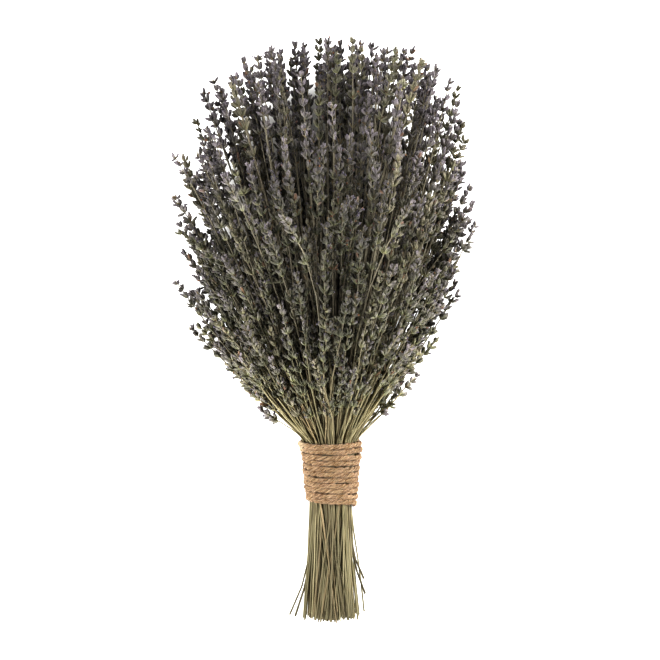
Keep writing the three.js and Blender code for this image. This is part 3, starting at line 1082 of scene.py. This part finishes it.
def add_fibres(surface, line, outward, rng):
    """Loose hairs of jute that stand off the twine."""
    share = np.linspace(0, 1, FIBRE_RINGS)[:, None]
    radii = np.linspace(*FIBRE_RADII, FIBRE_RINGS)
    along = unit(np.gradient(line, axis=0))
    for start in rng.integers(len(line) - 1, size=FIBRES):
        around = rng.uniform(-1.4, 1.4)
        side = np.cross(along[start], outward[start])
        away = unit(outward[start] * math.cos(around) + side * math.sin(around))
        root = line[start] + away * TWINE_DIAMETER * 0.5
        heading = along[start] * rng.choice([-1, 1]) + away * rng.uniform(0.1, 0.7)
        heading = heading + rng.normal(0, 0.25, 3)
        curl = rng.normal(0, 0.35, 3) - away * rng.uniform(0, 0.5)
        length = rng.uniform(*FIBRE_LENGTHS)
        path = root + (unit(heading) * share + curl * share ** 2) * length
        _, firsts, seconds = line_frames(path)
        points = tube_points(path, firsts, seconds, radii, ring_angles(FIBRE_FACETS))
        heights = share[:, 0] * length / UV_LENGTH
        surface.add_faces(*tube_faces(FIBRE_RINGS, FIBRE_FACETS, heights), "jute")
        surface.add_points(points, [rng.random(), 0, 1, 1])


def twine_piece():
    surface = Surface(["jute"])
    line, outward = twine_line()
    add_plies(surface, line, outward)
    add_fibres(surface, line, outward, np.random.default_rng([SEED, 99]))
    surface.make_piece("jute_twine_tie", "twine")


# Materials

def colour(shade):
    """A colour as the screen shows it, from 0 to 255, for a shader."""
    channels = [value / 255 for value in shade]
    linear = [v / 12.92 if v <= 0.04045 else ((v + 0.055) / 1.055) ** 2.4 for v in channels]
    return (*linear, 1)


class Nodes:
    """Adds nodes to a tree and wires them. A tuple is a colour as the screen shows it."""

    def __init__(self, tree):
        self.tree = tree

    def new(self, kind):
        return self.tree.nodes.new("ShaderNode" + kind)

    def link(self, value, socket):
        """Wires an output to a socket, or sets a plain value on it."""
        if isinstance(value, bpy.types.NodeSocket):
            self.tree.links.new(value, socket)
        else:
            socket.default_value = colour(value) if isinstance(value, tuple) else value

    def wired(self, node, *values):
        """Wires these values to a node's first sockets, and gives its first output."""
        for value, socket in zip(values, node.inputs):
            self.link(value, socket)
        return node.outputs[0]

    def maths(self, operation, *values):
        node = self.new("Math")
        node.operation = operation
        return self.wired(node, *values)

    def times(self, first, second):
        return self.maths("MULTIPLY", first, second)

    def span(self, value, low, high, to_low=0.0, to_high=1.0):
        """Maps a range of values to another, held at its ends."""
        return self.wired(self.new("MapRange"), value, low, high, to_low, to_high)

    def mix(self, factor, first, second):
        node = self.new("Mix")
        node.data_type = "RGBA"
        for value, index in ((factor, 0), (first, 6), (second, 7)):
            self.link(value, node.inputs[index])
        return node.outputs[2]

    def brighten(self, value, shade):
        """Multiplies a colour by a plain value."""
        node = self.new("VectorMath")
        node.operation = "SCALE"
        self.link(value, node.inputs["Scale"])
        return self.wired(node, shade)

    def ramp(self, value, stops):
        """A colour that changes from stop to stop."""
        node = self.new("ValToRGB")
        ramp = node.color_ramp
        while len(ramp.elements) < len(stops):
            ramp.elements.new(0.5)
        for element, (place, shade) in zip(ramp.elements, stops):
            element.position = place
            element.color = colour(shade)
        return self.wired(node, value)

    def split(self, kind, value):
        """The channels of a colour, or the axes of a vector."""
        node = self.new("Separate" + kind)
        self.link(value, node.inputs[0])
        return node.outputs

    def oval(self, middle, size):
        """How far out a place is from the middle of an oval on the floor, 1 on its edge."""
        squares = []
        for place, centre, reach in zip(self.split("XYZ", self.place()), middle, size):
            away = self.maths("SUBTRACT", place, centre * MM)
            squares.append(self.maths("POWER", self.maths("DIVIDE", away, reach * MM), 2))
        return self.maths("SQRT", self.maths("ADD", *squares))

    def place(self):
        """The point of the surface in metres."""
        return self.new("TexCoord").outputs["Object"]

    def noise(self, vector, scale, detail=2.0, roughness=0.5):
        node = self.new("TexNoise")
        settings = {"Vector": vector, "Scale": scale, "Detail": detail, "Roughness": roughness}
        for name, value in settings.items():
            self.link(value, node.inputs[name])
        return node.outputs[0]

class Shading(Nodes):
    """The material of a small part, which reads the part's tones and UVs."""

    def __init__(self, name, roughness, sheen=0.0):
        material = bpy.data.materials.new(name)
        material.use_nodes = True
        super().__init__(material.node_tree)
        self.shader = self.tree.nodes["Principled BSDF"]
        self.shader.inputs["Roughness"].default_value = roughness
        self.shader.inputs["Specular IOR Level"].default_value = 0.25
        self.shader.inputs["Sheen Weight"].default_value = sheen
        self.shader.inputs["Sheen Roughness"].default_value = 0.5
        tone = self.new("Attribute")
        tone.attribute_name = "tone"
        self.own, self.hue, self.light = self.split("Color", tone.outputs["Color"])
        place = self.new("UVMap")
        place.uv_map = "UVMap"
        self.around, self.along, _ = self.split("XYZ", place.outputs[0])

    def wrapped(self, across, up, seed):
        """A vector that runs seamlessly round a tube, for long streaks."""
        turn = self.times(self.around, TURN)
        sides = [self.times(self.maths(wave, turn), across) for wave in ("COSINE", "SINE")]
        lift = self.maths("MULTIPLY_ADD", self.along, up, self.times(self.own, seed))
        return self.wired(self.new("CombineXYZ"), *sides, lift)

    def waves(self, count):
        """A wave that goes up and down this many times round a tube."""
        return self.maths("COSINE", self.times(self.around, count * TURN))

    def finish(self, shade, height, depth):
        """Sets the colour and a bump of this depth, in millimetres."""
        self.link(shade, self.shader.inputs["Base Color"])
        bump = self.new("Bump")
        bump.inputs["Strength"].default_value = 1
        bump.inputs["Distance"].default_value = depth * MM
        self.link(height, bump.inputs["Height"])
        self.link(bump.outputs[0], self.shader.inputs["Normal"])


def stem_material():
    """Dry khaki stem: painted highlights along four edges, as on a square stem, and fine streaks along
    it.
    """
    s = Shading("stem", roughness=0.7)
    streaks = s.noise(s.wrapped(2.2, 0.5, 50), 2.0, 3, 0.6)
    blotches = s.noise(s.wrapped(0.3, 0.35, 90), 1.0, 2)
    khaki = s.mix(s.hue, (141, 131, 100), (153, 142, 112))
    green = s.mix(s.span(s.light, 0.6, 1, 0, 0.7), khaki, (136, 131, 102))
    tan = s.mix(s.span(s.hue, 0.9, 0.95, 0, 0.7), green, (158, 138, 106))
    aged = s.mix(s.span(blotches, 0.5, 0.75, 0, 0.8), tan, (116, 107, 77))
    # Painted highlight: four pale lines round the stem, where the edges of a square stem catch the
    # light
    shade = s.mix(s.span(s.waves(4), 0.2, 1, 0, 0.4), aged, (170, 162, 140))
    shade = s.mix(s.span(s.along, 16, 23, 0, 0.75), shade, (134, 128, 114))
    shade = s.brighten(s.span(streaks, 0.3, 0.7, 0.76, 1.2), shade)
    # Painted shade: stems darker towards the cut ends and among the heads, a little lighter in and just
    # above the tie; the light tone adds the painted light and shade of the stem's place and the feet of
    # fillers
    painted_zone_shade = s.times(s.span(s.along, 6.5, 10, 0.78, 1.03), s.span(s.along, 15, 22, 1, 0.78))
    shade = s.brighten(s.times(painted_zone_shade, s.span(s.light, -1, 2, 0.16, 1.66)), shade)
    shade = s.brighten(s.span(s.own, 0, 1, 0.78, 1.2), shade)
    s.finish(shade, streaks, 0.12)


def cut_end_material():
    """The pale pith of a cut stem in its darker rind."""
    s = Shading("cut_end", roughness=0.85)
    grain = s.noise(s.place(), 2600, 3, 0.6)
    shade = s.mix(s.span(grain, 0.35, 0.65), (170, 154, 116), (200, 186, 150))
    s.finish(shade, grain, 0.1)


def calyx_material():
    """A downy ribbed calyx: yellow-green where it starts, grey above, dark at its mouth."""
    s = Shading("calyx", roughness=0.8, sheen=0.25)
    ribs = s.waves(5)
    fuzz = s.noise(s.place(), 1500, 2, 0.6)
    heights = (0.0, 0.2, 0.42, 0.86, 0.98)
    old = [(134, 132, 97), (118, 119, 89), (106, 106, 85), (100, 98, 84), (52, 47, 43)]
    young = [(118, 112, 102), (111, 107, 102), (110, 104, 104), (107, 101, 104), (60, 54, 57)]
    old, young = [s.ramp(s.along, list(zip(heights, shades))) for shades in (old, young)]
    body = s.mix(s.span(s.hue, 0, STRAW_HUE), young, old)
    flush = s.times(s.span(s.own, 0.6, 1), s.span(s.along, 0.4, 0.9, 0, 0.5))
    violet = s.mix(flush, body, (95, 89, 101))
    straw = s.mix(s.span(s.hue, STRAW_HUE, 1, 0, 0.45), violet, (131, 122, 105))
    brown = s.mix(s.span(s.own, 0.984, 0.99, 0, 0.85), straw, (98, 76, 58))
    # The light tone adds painted light and shade from the spike's place in the bunch to each bud's own
    # random tone
    tone_and_painted_shade = s.times(s.span(s.own, 0, 1, 0.62, 1.52), s.span(s.light, 0, 2, 0.35, 2.1))
    shade = s.brighten(s.times(tone_and_painted_shade, s.span(ribs, 0, 1, 0.85, 1.3)), brown)
    shade = s.brighten(s.span(fuzz, 0.3, 0.7, 0.75, 1.25), shade)
    s.finish(shade, s.maths("MULTIPLY_ADD", ribs, 0.5, fuzz), 0.09)


def petal_material():
    """Dried petals, violet where the colour has kept."""
    s = Shading("petal", roughness=0.75, sheen=0.2)
    crumple = s.noise(s.place(), 2400, 3, 0.6)
    kept = s.mix(s.span(s.own, 0.2, 0.9), (87, 80, 91), (101, 95, 107))
    shade = s.mix(s.span(s.own, 0.25, 0.1), kept, (120, 84, 56))
    shade = s.brighten(s.span(crumple, 0.3, 0.7, 0.7, 1.25), shade)
    s.finish(shade, crumple, 0.15)


def bract_material():
    """Papery bracts and small dry leaves, with a vein along the middle."""
    s = Shading("bract", roughness=0.8)
    veins = s.noise(s.wrapped(4, 0.4, 40), 2.0, 2)
    dry = s.mix(s.own, (128, 121, 96), (130, 112, 90))
    middle = s.span(s.maths("ABSOLUTE", s.maths("SUBTRACT", s.around, 0.5)), 0.0, 0.12, 1.3, 1.0)
    shade = s.brighten(s.times(middle, s.span(veins, 0.3, 0.7, 0.75, 1.2)), dry)
    s.finish(shade, veins, 0.1)


def jute_material():
    """Jute: tan fibres laid along each ply, paler lengths, and painted shade in the grooves between the
    turns.
    """
    s = Shading("jute", roughness=0.9, sheen=0.15)
    fibres = s.noise(s.wrapped(1.9, 2.0, 30), 2.0, 4, 0.7)
    lengths = s.noise(s.place(), 150, 2)
    tan = s.mix(s.span(lengths, 0.4, 0.6), (156, 127, 90), (164, 134, 104))
    shade = s.mix(s.span(fibres, 0.5, 0.62), tan, (196, 176, 149))
    shade = s.mix(s.span(fibres, 0.5, 0.38), shade, (74, 46, 24))
    # Painted shade: dark brown where a ply nears the groove between two turns, broken into short
    # lengths
    painted_groove_shade = s.times(s.span(s.hue, 0.62, 0.8), s.span(lengths, 0.4, 0.55, 0.6, 0.2))
    shade = s.mix(painted_groove_shade, shade, (92, 60, 34))
    shade = s.mix(s.span(s.light, 0.5, 1, 0, 0.5), shade, (204, 190, 164))
    s.finish(shade, fibres, 0.55)


# Surroundings

PIXEL = 0.70
FRAME_PIXELS = 660
TIE_PIXEL = (331.0, 473.0)
CAMERA_LENS = 200.0
SENSOR = 36.0
CAMERA_FOCUS_HEIGHT = 60.0
FLOOR_HALF_WIDTH = 60.0
FLOOR_CORNERS = [(-1, -1), (1, -1), (1, 1), (-1, 1)]
FLOOR_GLOW = 0.75
WORLD_LIGHT = 0.03
VIEW_GAMMA = 0.74

# The middles and half widths of the ovals on the floor under the heads and the cut ends, with no glow
# and a painted shadow
HEAD_SHADE = ((-2.0, 75.0), (78.0, 105.0))
FOOT_SHADE = ((2.0, -130.0), (17.0, 80.0))

# Each light's name, its place and width in metres, and its power
SOFTBOXES = [
    ("left_softbox", (-1.9, -0.2, 1.1), 1.3, 96),
    ("right_softbox", (1.9, 0.3, 1.0), 1.3, 98),
    ("foot_softbox", (-0.3, -2.2, 0.7), 1.2, 26),
    ("head_softbox", (0.3, 2.1, 1.0), 1.2, 48),
]


def make_camera():
    """Straight above the bunch, framed as the photograph is."""
    tie = lay_down(np.zeros((1, 3)))[0] + shift
    middle = FRAME_PIXELS / 2
    x = tie[0] + (middle - TIE_PIXEL[0]) * PIXEL
    y = tie[1] + (TIE_PIXEL[1] - middle) * PIXEL
    distance = FRAME_PIXELS * PIXEL * CAMERA_LENS / SENSOR
    data = bpy.data.cameras.new("camera")
    data.lens = CAMERA_LENS
    data.sensor_width = SENSOR
    data.clip_end = 20
    camera = new_object("camera", data)
    camera.location = (x * MM, y * MM, (CAMERA_FOCUS_HEIGHT + distance) * MM)
    bpy.context.scene.camera = camera


def make_light(name, place, size, power):
    """A round softbox that points at the bunch."""
    data = bpy.data.lights.new(name, "AREA")
    data.shape = "DISK"
    data.size = size
    data.energy = power
    light = new_object(name, data)
    light.location = place
    light.rotation_mode = "QUATERNION"
    light.rotation_quaternion = (-Vector(place)).to_track_quat("-Z", "Y")


def make_world():
    world = bpy.data.worlds.new("studio")
    world.use_nodes = True
    background = world.node_tree.nodes["Background"]
    background.inputs["Color"].default_value = (1, 1, 1, 1)
    background.inputs["Strength"].default_value = WORLD_LIGHT
    bpy.context.scene.world = world
    bpy.context.scene.view_settings.view_transform = "Standard"
    bpy.context.scene.view_settings.gamma = VIEW_GAMMA


def make_floor():
    """A white floor that glows a little, but not under the heads and the cut ends, where its colour is
    painted grey as a shadow.
    """
    mesh = bpy.data.meshes.new("floor")
    corners = [(x * FLOOR_HALF_WIDTH, y * FLOOR_HALF_WIDTH, 0) for x, y in FLOOR_CORNERS]
    mesh.from_pydata(corners, [], [(0, 1, 2, 3)])
    material = bpy.data.materials.new("floor")
    material.use_nodes = True
    shader = material.node_tree.nodes["Principled BSDF"]
    shader.inputs["Roughness"].default_value = 0.9
    shader.inputs["Emission Color"].default_value = (1, 1, 1, 1)
    s = Nodes(material.node_tree)
    out = s.maths("MINIMUM", s.oval(*HEAD_SHADE), s.oval(*FOOT_SHADE))
    near, far = s.span(out, 0.86, 1.06, 0, FLOOR_GLOW), s.span(out, 10, 18, 0, 1 - FLOOR_GLOW)
    s.link(s.maths("ADD", near, far), shader.inputs["Emission Strength"])
    # Painted shadow: the floor's colour turns grey under the heads and the cut ends
    pale = s.mix(s.span(out, 0.8, 1), (150, 148, 143), (244, 244, 243))
    s.link(pale, shader.inputs["Base Color"])
    mesh.materials.append(material)
    floor = new_object("floor", mesh)


sheaves = make_sheaves()
shift = find_shift()

stem_material()
cut_end_material()
calyx_material()
petal_material()
bract_material()
jute_material()

shape_rng = np.random.default_rng([SEED, 7])
parts = SimpleNamespace(
    open_buds=bud_shapes(shape_rng, OPEN_HEIGHTS, OPEN_WIDTHS, 0.94, 1),
    closed_buds=bud_shapes(shape_rng, CLOSED_HEIGHTS, CLOSED_WIDTHS, 1, 0.85),
    petals=petal_shapes(shape_rng),
    bracts=leaf_shapes(shape_rng, [0.5, 1, 0.8], 0.5),
    leaves=leaf_shapes(shape_rng, [0.6, 1, 0.85], 0.35),
)
for number, stems in enumerate(sheaves, 1):
    sheaf_piece(number, stems, parts)
twine_piece()

make_camera()
make_world()
make_floor()
for softbox in SOFTBOXES:
    make_light(*softbox)
